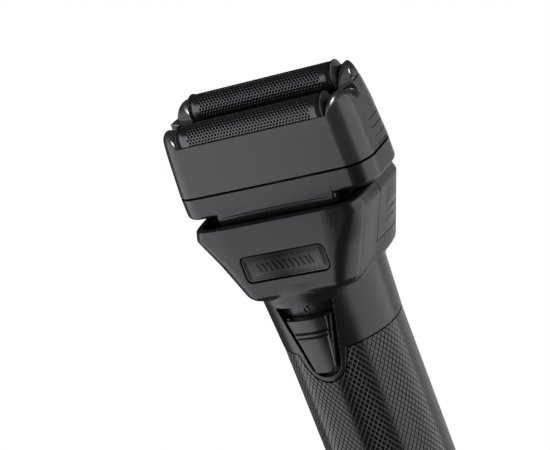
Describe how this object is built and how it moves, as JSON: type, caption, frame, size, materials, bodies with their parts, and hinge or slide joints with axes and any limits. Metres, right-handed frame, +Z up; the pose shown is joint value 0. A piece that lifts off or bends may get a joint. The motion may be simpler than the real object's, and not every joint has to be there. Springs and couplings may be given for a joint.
{
  "type": "foil shaver",
  "caption": "Cordless double-foil shaver with a knurled round grip, flared shoulder housing, slanted foil cassette, power slider and side release buttons.",
  "frame": {"origin": "centre of the handle's flat bottom face", "axes": "+Z up along the barrel, +X along the foils, -Y towards the front with the power slider and the badge"},
  "size_m": [0.0652, 0.0402, 0.1631],
  "materials": {
    "grip": "knurled, satin black",
    "housing": "satin black",
    "badge": "dark brushed gunmetal",
    "slider": "satin black",
    "button": "satin black",
    "foil_steel": "dark coated perforated foil",
    "cutter_steel": "ground blades",
    "carrier": "black",
    "seal": "matte",
    "acetal": "natural acetal",
    "chassis": "dark grey moulding",
    "cell": "blue shrink sleeve over a steel cell",
    "nickel": "nickel strip",
    "board": "green board",
    "electrical": "black",
    "lens": "translucent white",
    "motor": "zinc plated can",
    "steel": "plated steel"
  },
  "bodies": {
    "handle": {"grip_sleeve": "grip", "upper_housing": "housing", "badge_plate": "badge", "end_cap": "housing", "cap_screw_left": "steel", "cap_screw_right": "steel", "charge_socket": "electrical", "charge_light": "lens", "chassis_front": "chassis", "chassis_rear": "chassis", "battery_cell": "cell", "battery_tab_upper": "nickel", "battery_tab_lower": "nickel", "circuit_board": "board", "power_switch": "electrical", "motor_can": "motor", "motor_mount": "chassis", "mount_screw_left": "steel", "mount_screw_right": "steel", "top_deck": "housing", "head_base": "housing", "head_pedestal": "housing", "drive_seal_front": "seal", "drive_seal_rear": "seal", "release_spring_left": "steel", "release_spring_right": "steel", "spring_seat_left": "chassis", "spring_seat_right": "chassis"},
    "slider": {"power_slider": "slider"},
    "left_button": {"release_button_left": "button"},
    "right_button": {"release_button_right": "button"},
    "rotor": {"motor_shaft": "steel", "eccentric_cam": "acetal"},
    "front_drive": {"front_oscillator": "acetal", "front_cutter_spring": "steel"},
    "rear_drive": {"rear_oscillator": "acetal", "rear_cutter_spring": "steel"},
    "front_blades": {"front_cutter": "cutter_steel"},
    "rear_blades": {"rear_cutter": "cutter_steel"},
    "cassette": {"foil_cassette": "housing"},
    "front_shaving_foil": {"front_foil": "foil_steel", "front_foil_carrier": "carrier"},
    "rear_shaving_foil": {"rear_foil": "foil_steel", "rear_foil_carrier": "carrier"}
  },
  "joints": [
    {"name": "power_slide", "type": "slide", "parent": "handle", "child": "slider", "axis": [0, 0, 1], "range_m": [0, 0.0036]},
    {"name": "left_button_press", "type": "slide", "parent": "handle", "child": "left_button", "axis": [1, 0, 0], "range_m": [0, 0.0015], "stiffness_N_per_m": 200, "deforming": ["release_spring_left"]},
    {"name": "right_button_press", "type": "slide", "parent": "handle", "child": "right_button", "axis": [-1, 0, 0], "range_m": [0, 0.0015], "stiffness_N_per_m": 200, "deforming": ["release_spring_right"]},
    {"name": "motor_spin", "type": "hinge", "parent": "handle", "child": "rotor", "pos_m": [0, 0, 0.114], "axis": [0, 0, 1], "continuous": true},
    {"name": "front_stroke", "type": "slide", "parent": "handle", "child": "front_drive", "axis": [1, 0, 0], "range_m": [-0.0012, 0.0012]},
    {"name": "rear_stroke", "type": "slide", "parent": "handle", "child": "rear_drive", "axis": [1, 0, 0], "range_m": [-0.0012, 0.0012]},
    {"name": "cassette_release", "type": "slide", "parent": "handle", "child": "cassette", "axis": [0, -0.3453, 0.9385], "range_m": [0, 0.005]},
    {"name": "front_foil_float", "type": "slide", "parent": "cassette", "child": "front_shaving_foil", "axis": [0, 0.3453, -0.9385], "range_m": [0, 0.0015], "stiffness_N_per_m": 300},
    {"name": "rear_foil_float", "type": "slide", "parent": "cassette", "child": "rear_shaving_foil", "axis": [0, 0.3453, -0.9385], "range_m": [0, 0.0015], "stiffness_N_per_m": 300},
    {"name": "front_blade_float", "type": "slide", "parent": "front_drive", "child": "front_blades", "axis": [0, 0.3453, -0.9385], "range_m": [0, 0.0015], "stiffness_N_per_m": 300, "deforming": ["front_cutter_spring"]},
    {"name": "rear_blade_float", "type": "slide", "parent": "rear_drive", "child": "rear_blades", "axis": [0, 0.3453, -0.9385], "range_m": [0, 0.0015], "stiffness_N_per_m": 300, "deforming": ["rear_cutter_spring"]}
  ],
  "couplings": [
    {"joint": "rear_stroke", "follows": "front_stroke", "ratio": -1},
    {"joint": "front_blade_float", "follows": "front_foil_float", "ratio": 1},
    {"joint": "rear_blade_float", "follows": "rear_foil_float", "ratio": 1}
  ]
}
